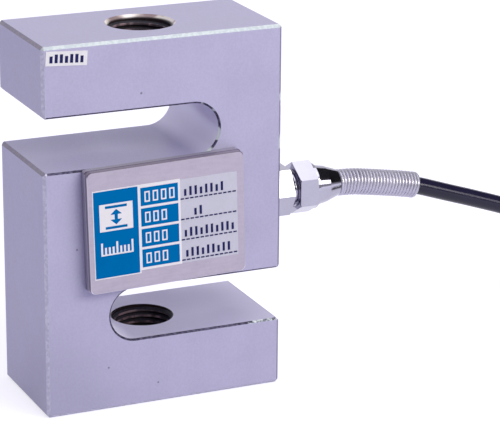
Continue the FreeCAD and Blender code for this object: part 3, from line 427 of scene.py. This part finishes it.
def make_edge_mask():
    """1 on bevels and rounds, 0 on faces that are square to the block."""
    group, given, result = new_group("edge_mask", [("Width", NUMBER, 0.06)], [("Mask", NUMBER)])
    normal = add_node(group, "ShaderNodeSeparateXYZ")
    feed(group, normal.inputs[0], add_node(group, "ShaderNodeNewGeometry").outputs["Normal"])
    flat = 0.0
    for axis in normal.outputs:
        flat = calculate(group, "MAXIMUM", flat, calculate(group, "ABSOLUTE", axis))
    edge = calculate(group, "SUBTRACT", 1.0, flat)
    mask = calculate(group, "DIVIDE", edge, given["Width"], clamp=True)
    feed(group, result["Mask"], mask)
    return group


def make_scratches():
    """Fine drawn lines along one axis, as grinding leaves them."""
    group, given, result = new_group(
        "scratches", [("Across", NUMBER, 0.12), ("Along", NUMBER, 8.0)], [("Lines", NUMBER)]
    )
    stretch = add_node(group, "ShaderNodeCombineXYZ")
    fine = per_metre(group, given["Across"])
    slow = per_metre(group, given["Along"])
    for socket, value in zip(stretch.inputs, (slow, fine, fine)):
        feed(group, socket, value)
    scaled = add_node(group, "ShaderNodeVectorMath", operation="MULTIPLY")
    feed(group, scaled.inputs[0], place_socket(group))
    feed(group, scaled.inputs[1], stretch.outputs[0])
    pattern = noise(group, scaled.outputs[0], 1.0, 3.0)
    feed(group, result["Lines"], remap(group, pattern, 0.3, 0.7))
    return group


MOTTLE = make_mottle()
EDGE_MASK = make_edge_mask()
SCRATCHES = make_scratches()


def new_material(name):
    """A material with one shader that goes straight to its output."""
    material = bpy.data.materials.new(name)
    material.use_nodes = True
    tree = material.node_tree
    tree.nodes.clear()
    shader = add_node(tree, "ShaderNodeBsdfPrincipled")
    output = add_node(tree, "ShaderNodeOutputMaterial")
    tree.links.new(shader.outputs[0], output.inputs[0])
    return material, tree, shader


def relief(tree, shader, height, distance):
    """Fine relief, of a distance in millimetres."""
    bump = add_node(tree, "ShaderNodeBump")
    bump.inputs["Strength"].default_value = 1.0
    bump.inputs["Distance"].default_value = distance * MM
    feed(tree, bump.inputs["Height"], height)
    feed(tree, shader.inputs["Normal"], bump.outputs[0])


def finish_material(name, colour, roughness, metallic=0.0, clouds=0.05, grain=0.05, rough_swing=0.06,
                    relief_depth=0.0, coat=0.0, specular=0.5):
    """A finish with faint clouds and grain in its colour, gloss and relief."""
    material, tree, shader = new_material(name)
    mottle = use_group(
        tree, MOTTLE, Colour=tone(colour), Cloud_Size=5.0, Grain_Size=0.3, Clouds=clouds, Grain=grain
    )
    feed(tree, shader.inputs["Base Color"], mottle["Colour"])
    gloss = calculate(tree, "MULTIPLY_ADD", mottle["Clouds"], rough_swing, roughness)
    feed(tree, shader.inputs["Roughness"], gloss)
    shader.inputs["Metallic"].default_value = metallic
    shader.inputs["Coat Weight"].default_value = coat
    shader.inputs["Specular IOR Level"].default_value = specular
    if relief_depth:
        relief(tree, shader, mottle["Grain"], relief_depth)
    return material


# --- masks --------------------------------------------------------------------------------

def beyond(tree, value, limit):
    """1 where a value is above a limit, else 0."""
    return calculate(tree, "GREATER_THAN", value, limit)


def product(tree, first, *others):
    """Masks times each other: where all of them are."""
    for other in others:
        first = calculate(tree, "MULTIPLY", first, other)
    return first


def most(tree, first, *others):
    """The highest of several masks: where any of them is."""
    for other in others:
        first = calculate(tree, "MAXIMUM", first, other)
    return first


def opposite(tree, mask):
    """1 where a mask is 0, and 0 where it is 1."""
    return calculate(tree, "SUBTRACT", 1.0, mask)


def band(tree, value, low, high):
    """1 where a value lies between two limits, else 0."""
    return product(tree, beyond(tree, value, low), opposite(tree, beyond(tree, value, high)))


def spot_mask(tree, place, centre, radius):
    """1 in the middle of a small round spot, falling to 0 at its rim."""
    gap = add_node(tree, "ShaderNodeVectorMath", operation="DISTANCE")
    feed(tree, gap.inputs[0], place)
    gap.inputs[1].default_value = Vector(centre) * MM
    return remap(tree, gap.outputs["Value"], radius * MM, radius * 0.3 * MM)


def axes(tree, vector, scale=1.0):
    """The three parts of a vector, each times a scale."""
    node = add_node(tree, "ShaderNodeSeparateXYZ")
    feed(tree, node.inputs[0], vector)
    return [calculate(tree, "MULTIPLY", part, scale) for part in node.outputs]


def surface_lean(tree):
    """The three parts of the surface's normal."""
    return axes(tree, add_node(tree, "ShaderNodeNewGeometry").outputs["Normal"])


def off_axis(tree, place):
    """Distance from the axis of the load threads, in millimetres."""
    flat = add_node(tree, "ShaderNodeVectorMath", operation="MULTIPLY")
    feed(tree, flat.inputs[0], place)
    flat.inputs[1].default_value = (1000, 1000, 0)
    distance = add_node(tree, "ShaderNodeVectorMath", operation="LENGTH")
    feed(tree, distance.inputs[0], flat.outputs[0])
    return distance.outputs["Value"]


# --- finishes -----------------------------------------------------------------------------

# Middle and radius of small pits in the front face.
STEEL_PITS = (
    ((-4.9, -12.7, 65.2), 0.35),
    ((-12.3, -12.7, 9.0), 0.3),
    ((-1.6, -12.7, 4.2), 0.3),
    ((-18.7, -12.7, 34.8), 0.3),
)
# How far past a slot's floor and top its bevels reach.
SLOT_MARGIN = 0.5
# Bevels' painted highlights and shade, mottled by chips: the tone between the chips, and the tone in them.
PAINTED_BEVEL_TONES = {
    "pale": ("bab8d0", "cccae0"),
    "white": ("bec6d0", "ccd4da"),
    "dark": ("2e2842", "625c7c"),
    "off_face_shade": ("8d869c", "98919f"),
}


def block_masks(tree, place):
    """Where a point of the block is, how its surface leans, and which parts of the block it is on."""
    x, _, z = axes(tree, place, 1000.0)
    lean_x, lean_y, lean_z = surface_lean(tree)
    off_middle = calculate(tree, "ABSOLUTE", x)
    slots = [band(tree, z, low - SLOT_MARGIN, high + SLOT_MARGIN) for low, high in SLOTS]
    return {
        "x": x,
        "z": z,
        "lean_x": lean_x,
        "lean_z": lean_z,
        "slope": calculate(tree, "ABSOLUTE", lean_x),
        "on_faces": beyond(tree, calculate(tree, "ABSOLUTE", lean_y), 0.3),
        "in_slots": most(tree, *slots),
        "at_ends": beyond(tree, off_middle, BLOCK_WIDE / 2 - 0.8),
    }


def slot_painted_light(tree, colour, at):
    """Painted light: steel made a little paler in the slots, paler on the lower slot's floor and palest on
    their round ends, lifting the shade there.
    """
    painted_slot_light = product(tree, at["in_slots"], opposite(tree, at["on_faces"]), opposite(tree, at["at_ends"]))
    lower_floor = band(tree, at["z"], ARM - SLOT_MARGIN, ARM + 4.7)
    round_end = remap(tree, at["slope"], 0.0, 0.7)
    # Painted light on the slot insides, their floors and round ends.
    colour = blend(tree, product(tree, painted_slot_light, 0.1), colour, tone("c6c2e2"))
    colour = blend(tree, product(tree, painted_slot_light, lower_floor, 0.6), colour, tone("d6d2ee"))
    return blend(tree, product(tree, painted_slot_light, round_end), colour, tone("e8e4fc"))


def corner_shade_and_pits(tree, colour, place):
    """Steel with painted shade on its lower corner on the left, and a few small pits."""
    # Painted shade: the lower left corner is darkened.
    corner_shade = spot_mask(tree, place, (-27.0, -14.0, 0.0), 24.0)
    colour = blend(tree, product(tree, corner_shade, 0.35), colour, tone("8e8ba6"))
    pits = most(tree, *(spot_mask(tree, place, centre, radius) for centre, radius in STEEL_PITS))
    return blend(tree, product(tree, pits, 0.7), colour, tone("4a4660"))


def bevel_colour(tree, place, at):
    """Bevels in painted light, mottled by chips: a pale painted highlight outside, darker on bevels facing
    right, painted shade round the slots, a white painted highlight on the top edges, the lower slot's open
    lip and patches on the rounds, and darker painted shade off the two faces.
    """
    chips = remap(tree, speckle(tree, place, 0.7, 3.0), 0.4, 0.62)
    highlight_patches = remap(tree, speckle(tree, place, 2.6, 1.0), 0.46, 0.54)
    bevel = {name: blend(tree, chips, tone(low), tone(high)) for name, (low, high) in PAINTED_BEVEL_TONES.items()}
    on_right = product(tree, beyond(tree, at["lean_x"], 0.3), at["at_ends"])
    round_slots = product(tree, at["in_slots"], opposite(tree, at["at_ends"]))
    top = product(tree, beyond(tree, at["z"], BLOCK_TALL - 1.2), beyond(tree, at["lean_z"], 0.3))
    floor_lip = band(tree, at["z"], ARM - SLOT_MARGIN, ARM + 0.3)
    open_lip = product(tree, beyond(tree, at["x"], 18.5), floor_lip, chips)
    rounds = product(tree, highlight_patches, beyond(tree, at["slope"], 0.2), beyond(tree, at["x"], 5.0))
    # Painted highlights: the top edges, the lower slot's open lip and patches on the slot rounds.
    lightened = most(tree, top, open_lip, product(tree, rounds, at["in_slots"]))
    # Painted shade on bevels that face right, round the slots and off the two faces.
    colour = blend(tree, on_right, bevel["pale"], tone("7d7699"))
    colour = blend(tree, round_slots, colour, bevel["dark"])
    colour = blend(tree, lightened, colour, bevel["white"])
    return blend(tree, at["on_faces"], bevel["off_face_shade"], colour)


def mouth_colour(tree, place, from_axis):
    """A load thread's mouth: a painted highlight in bright patches on the steel, and painted shade from its
    first ridge inward.
    """
    highlight_patches = remap(tree, speckle(tree, place, 5.0), 0.42, 0.56)
    bright = blend(tree, highlight_patches, tone("a08c92"), tone("ece4e4"))
    # Painted shade inside the bore, from the first ridge inward.
    return blend(tree, remap(tree, from_axis, 6.4, 6.75), tone("2c2428"), bright)


def block_steel():
    """Satin plating with a few small pits, and painted light and shade in its slots, on its lower left
    corner, on its bevels and in its thread mouths.
    """
    material, tree, shader = new_material("block_steel")
    mottle = use_group(
        tree, MOTTLE, Colour=tone("b2aecd"), Cloud_Size=9.0, Grain_Size=0.45, Clouds=0.03, Grain=0.035
    )
    place = place_socket(tree)
    at = block_masks(tree, place)
    colour = corner_shade_and_pits(tree, slot_painted_light(tree, mottle["Colour"], at), place)

    from_axis = off_axis(tree, place)
    near_axis = opposite(tree, beyond(tree, from_axis, 7.3))
    mouth = product(tree, near_axis, opposite(tree, beyond(tree, at["lean_z"], 0.95)))
    # Painted highlights and shade on the bevels and the thread mouths.
    edge = use_group(tree, EDGE_MASK, Width=0.08)["Mask"]
    edge = product(tree, edge, most(tree, at["on_faces"], at["at_ends"]))
    edge_colour = blend(tree, mouth, bevel_colour(tree, place, at), mouth_colour(tree, place, from_axis))
    feed(tree, shader.inputs["Base Color"], blend(tree, most(tree, edge, mouth), colour, edge_colour))

    rough = calculate(tree, "MULTIPLY_ADD", mottle["Clouds"], 0.03, 0.42)
    feed(tree, shader.inputs["Roughness"], calculate(tree, "MULTIPLY_ADD", mouth, -0.15, rough))
    shader.inputs["Metallic"].default_value = 0.25
    shader.inputs["Specular IOR Level"].default_value = 0.3
    relief(tree, shader, mottle["Grain"], 0.002)
    return material


def bore_steel():
    """Thread darkened with painted shade inside the bore, with a little brown on its crests."""
    material, tree, shader = new_material("bore_steel")
    # The dark tone is painted shade inside the bore.
    mottle = use_group(
        tree, MOTTLE, Colour=tone("2e2c36"), Cloud_Size=3.0, Grain_Size=0.4, Clouds=0.2, Grain=0.2
    )
    place = place_socket(tree)
    lightened = remap(tree, speckle(tree, place, 1.6, 3.0), 0.4, 0.65, 0.15, 1.0)
    crests = remap(tree, off_axis(tree, place), THREAD_CREST + 0.04, THREAD_CREST + 0.21, 1.0, 0.0)
    colour = blend(tree, product(tree, crests, lightened), mottle["Colour"], tone("86707a"))
    feed(tree, shader.inputs["Base Color"], colour)
    feed(tree, shader.inputs["Roughness"], calculate(tree, "MULTIPLY_ADD", mottle["Grain"], 0.05, 0.5))
    shader.inputs["Specular IOR Level"].default_value = 0.15
    return material


def sheet_metal(name, face, side, bevel, up_bevel_shade):
    """Satin sheet with faint lines along its length; its sides and fine bevel carry painted light and shade.
    """
    material, tree, shader = new_material(name)
    mottle = use_group(
        tree, MOTTLE, Colour=tone(face), Cloud_Size=3.0, Grain_Size=0.5, Clouds=0.03, Grain=0.02
    )
    lines = use_group(tree, SCRATCHES, Across=0.5, Along=4.0)["Lines"]
    colour = blend(tree, product(tree, lines, 0.16), mottle["Colour"], tone("cfc3d0"))
    _, lean_y, lean_z = surface_lean(tree)
    edge = use_group(tree, EDGE_MASK, Width=0.08)["Mask"]
    # Painted light and shade on the bevel: a highlight tone facing down and sideways, a shade tone facing up.
    edge_colour = blend(tree, remap(tree, lean_z, -0.3, 0.4), tone(bevel), tone(up_bevel_shade))
    colour = blend(tree, edge, colour, edge_colour)
    # Painted light and shade: the sides take a tone of their own.
    on_side = opposite(tree, beyond(tree, calculate(tree, "ABSOLUTE", lean_y), 0.3))
    feed(tree, shader.inputs["Base Color"], blend(tree, on_side, colour, tone(side)))
    feed(tree, shader.inputs["Roughness"], calculate(tree, "MULTIPLY_ADD", lines, 0.06, 0.36))
    shader.inputs["Metallic"].default_value = 0.4
    return material


def paint(piece, material):
    """Give a piece its finish."""
    piece.data.materials.clear()
    piece.data.materials.append(material)


def dress(material, *nodes):
    """Give CAD nodes their finish."""
    for name in nodes:
        paint(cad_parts[name], material)


# Each finish's colour, roughness and other settings, and the CAD nodes that have it.
FINISHES = {
    "gasket_black": ("26262a", 0.7, {}, ("front_gasket", "back_gasket")),
    "film_dark": ("4a4250", 0.5, {}, ("nameplate_film",)),
    "print_white": (
        "e9e6ef", 0.5, {"clouds": 0.01, "grain": 0.01, "specular": 0.2}, ("white_print", "white_marks"),
    ),
    "print_blue": ("006bb0", 0.5, {"clouds": 0.02, "grain": 0.02, "specular": 0.0}, ("blue_print",)),
    "print_pale": ("c6c5d8", 0.45, {"clouds": 0.02, "grain": 0.02, "specular": 0.2}, ("value_print",)),
    "print_dark": (
        "22245a", 0.5, {"clouds": 0.02, "grain": 0.03, "specular": 0.1},
        ("dark_marks", "dashed_lines", "label_marks"),
    ),
    "label_white": ("e6e4ec", 0.7, {"clouds": 0.02, "grain": 0.03}, ("paper_label",)),
    "gland_chrome": (
        "aeacba", 0.11, {"metallic": 1.0, "clouds": 0.02, "grain": 0.02, "rough_swing": 0.02},
        ("gland_body", "gland_nut", "clamp_ring"),
    ),
    "seal_rubber": ("202024", 0.6, {}, ("gland_washer", "gland_seal")),
    "tie_black": ("18181c", 0.45, {"relief_depth": 0.02}, ("coil_ties",)),
    "sleeve_black": ("141418", 0.4, {}, ("end_sleeve",)),
    "red_cover": ("b01818", 0.35, {}, ("red_lead", "red_core")),
    "green_cover": ("187838", 0.35, {}, ("green_lead", "green_core")),
    "white_cover": ("e8e8e4", 0.35, {}, ("white_lead", "white_core")),
    "black_cover": ("1c1c20", 0.35, {}, ("black_lead", "black_core")),
    "tinned_copper": (
        "c8beb0", 0.3, {"metallic": 1.0, "grain": 0.15}, ("shield_drain", "bared_tips", "drain_wire"),
    ),
    "gauge_film": (
        "c07828", 0.3, {"coat": 0.3},
        ("strain_gauge_front_near", "strain_gauge_front_far", "strain_gauge_back_near",
         "strain_gauge_back_far"),
    ),
    "board_green": ("1c6038", 0.4, {"coat": 0.2}, ("bridge_board",)),
    "solder_bright": ("c8c8cc", 0.3, {"metallic": 1.0}, ("solder_joints",)),
    "enamel_copper": ("a04818", 0.3, {"metallic": 0.8}, ("gauge_wires",)),
    "silicone_white": ("dcdcd6", 0.5, {}, ("front_potting", "back_potting")),
}

cable = make_cable()
spring = make_spring()
upper_thread = make_thread("upper_thread_ridges", BLOCK_TALL, 1)
lower_thread = make_thread("lower_thread_ridges", 0.0, -1)

dress(block_steel(), "load_cell_body")
shaded_bore = bore_steel()
paint(upper_thread, shaded_bore)
paint(lower_thread, shaded_bore)
# Face, side, bevel and upward bevel tones; the side and bevel tones are painted light and shade.
dress(sheet_metal("brushed_plate", "afa7bb", "8c8298", "f2eef6", "6e6474"), "nameplate")
dress(
    sheet_metal("cover_sheet", "9c96aa", "a09aae", "c6bed2", "5c5466"), "front_cover", "back_cover"
)
paint(spring, finish_material("spring_wire", "b8b5c6", 0.34, metallic=0.7))
paint(cable, finish_material(
    "jacket_black", "1e1c34", 0.13, clouds=0.08, grain=0.08, specular=0.3, relief_depth=0.002
))
for finish, (colour, roughness, settings, nodes) in FINISHES.items():
    dress(finish_material(finish, colour, roughness, **settings), *nodes)


# --- studio -------------------------------------------------------------------------------

FLOOR_RADIUS = 8.0
FLOOR_LEVEL = -0.00005
FLOOR_GLOW = 0.7


def make_floor():
    """A pale floor that shows white and keeps the object's shadow."""
    mesh = bmesh.new()
    bmesh.ops.create_circle(mesh, cap_ends=True, segments=96, radius=FLOOR_RADIUS)
    data = bpy.data.meshes.new("floor")
    mesh.to_mesh(data)
    mesh.free()
    floor = bpy.data.objects.new("floor", data)
    floor.location.z = FLOOR_LEVEL
    bpy.context.collection.objects.link(floor)
    material, tree, shader = new_material("floor_white")
    shader.inputs["Base Color"].default_value = (0.43, 0.42, 0.56, 1)
    shader.inputs["Roughness"].default_value = 0.9
    shader.inputs["Specular IOR Level"].default_value = 0.0
    # It glows for what looks at it, not for what it lights.
    path = add_node(tree, "ShaderNodeLightPath").outputs
    seen = most(tree, path["Is Camera Ray"], path["Is Glossy Ray"], path["Is Transmission Ray"])
    shader.inputs["Emission Color"].default_value = (1, 1, 1, 1)
    feed(tree, shader.inputs["Emission Strength"], product(tree, seen, FLOOR_GLOW))
    paint(floor, material)


# The dark screen: the way to its middle, and how near to that its edge begins and ends.
SCREEN_WAY = (0.866, 0.06, 0.496)
SCREEN_EDGE = (0.79, 0.83)
SCREEN_LEVEL = 0.03
OVERHEAD_LEVEL = 0.7
FRONT_LEVEL = 0.45
LEFT_LEVEL = 0.85


def make_world():
    """A pale studio: bright behind, softer overhead, in front and on the left, with one dark screen."""
    world = bpy.data.worlds.new("studio")
    bpy.context.scene.world = world
    world.use_nodes = True
    tree = world.node_tree
    tree.nodes.clear()
    output = add_node(tree, "ShaderNodeOutputWorld")
    background = add_node(tree, "ShaderNodeBackground")
    tree.links.new(background.outputs[0], output.inputs[0])
    heading = add_node(tree, "ShaderNodeTexCoord").outputs["Generated"]
    x, y, z = axes(tree, heading)
    level = remap(tree, y, -0.2, 0.5, FRONT_LEVEL, 1.0)
    overhead = remap(tree, z, 0.35, 0.65)
    rest = calculate(tree, "SUBTRACT", OVERHEAD_LEVEL, level)
    level = calculate(tree, "ADD", level, product(tree, overhead, rest))
    level = product(tree, level, remap(tree, x, -0.7, 0.0, LEFT_LEVEL, 1.0))
    toward = add_node(tree, "ShaderNodeVectorMath", operation="DOT_PRODUCT")
    feed(tree, toward.inputs[0], heading)
    toward.inputs[1].default_value = SCREEN_WAY
    screen = remap(tree, toward.outputs["Value"], *SCREEN_EDGE, 1.0, SCREEN_LEVEL)
    background.inputs["Color"].default_value = (0.95, 0.94, 1.0, 1)
    feed(tree, background.inputs["Strength"], product(tree, level, screen))


LAMP_AIM = Vector((0.0, 0.0, 0.04))


def make_lamp(name, spot, size, power, tint=(1.0, 1.0, 1.0)):
    """A soft rectangular lamp, aimed at the block, whose first side lies along X as nearly as it can."""
    lamp = bpy.data.lights.new(name, "AREA")
    lamp.shape = "RECTANGLE"
    lamp.size, lamp.size_y = size
    lamp.energy = power
    lamp.color = tint
    piece = bpy.data.objects.new(name, lamp)
    bpy.context.collection.objects.link(piece)
    back = (Vector(spot) - LAMP_AIM).normalized()
    across = (Vector((1, 0, 0)) - back * back.x).normalized()
    turned = Matrix((across, back.cross(across), back)).transposed()
    piece.matrix_world = Matrix.Translation(Vector(spot)) @ turned.to_4x4()


make_floor()
make_world()
make_lamp("softbox_above", (0.33, -0.08, 0.85), (0.42, 0.8), 1.9)
make_lamp("softbox_front", (0.43, -0.90, 0.60), (0.8, 0.5), 7.4, (1.0, 1.0, 0.82))
make_lamp("side_strip", (0.75, -0.66, 0.39), (0.3, 0.3), 1.2, (1.0, 0.94, 1.0))

bpy.context.scene.view_settings.view_transform = "Standard"
